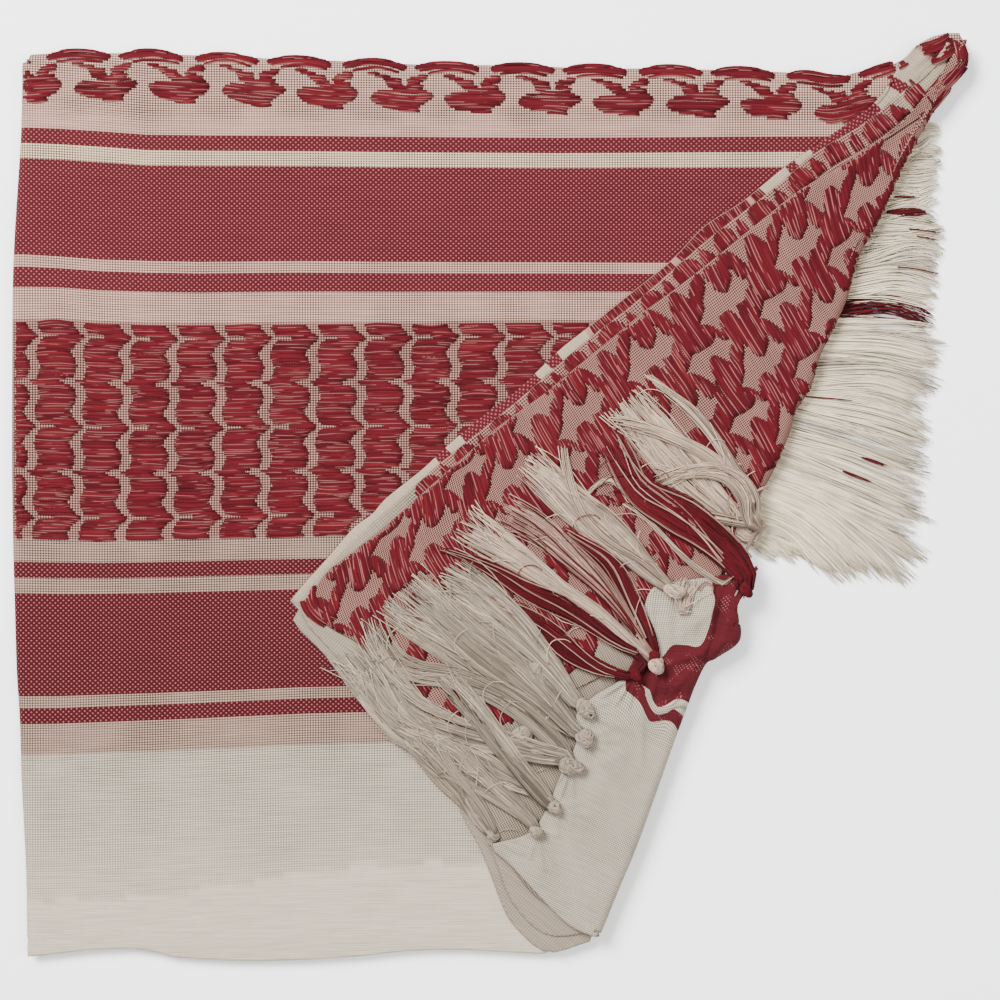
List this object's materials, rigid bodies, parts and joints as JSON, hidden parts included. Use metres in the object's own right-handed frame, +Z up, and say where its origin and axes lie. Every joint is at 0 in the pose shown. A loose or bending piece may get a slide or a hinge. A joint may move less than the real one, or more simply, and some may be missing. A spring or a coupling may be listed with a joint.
{
  "type": "keffiyeh headscarf, folded flat",
  "caption": "Folded red and white cotton keffiyeh headscarf lying flat, one end turned back, with tied tassels and a free fringe.",
  "frame": {"origin": "middle of the folded scarf's footprint, on the surface that it rests on", "axes": "+Z up from the surface, +X towards the fringed side, +Y towards the folded upper edge with the tip"},
  "size_m": [0.4199, 0.4081, 0.0157],
  "materials": {
    "cotton_white": "plain woven unbleached cotton",
    "cotton_striped": "cotton with woven red and white stripes",
    "cotton_houndstooth": "cotton with red floats in a houndstooth figure",
    "yarn_white": "loose unbleached cotton yarn",
    "yarn_red": "loose red cotton yarn"
  },
  "bodies": {
    "root": {"hidden_layers": "cotton_white", "border_panel": "cotton_striped", "flap_border_layer": "cotton_striped", "flap_second_layer": "cotton_striped", "flap_field_layer": "cotton_houndstooth", "flap_end_layer": "cotton_white", "fringe_upper": "yarn_white", "fringe_red_band": "yarn_red", "fringe_lower": "yarn_white", "tassel_arched": "yarn_white", "tassel_red_broad": "yarn_red", "tassel_white_broad": "yarn_white", "tassel_pink": "yarn_white", "tassel_red_slim": "yarn_red", "tassel_white_long": "yarn_white", "tassel_red_pair": "yarn_red", "tassel_row_1": "yarn_white", "tassel_row_2": "yarn_white", "tassel_row_3": "yarn_white", "tassel_row_4": "yarn_white", "tassel_row_5": "yarn_white", "tassel_row_6": "yarn_white"}
  },
  "joints": []
}
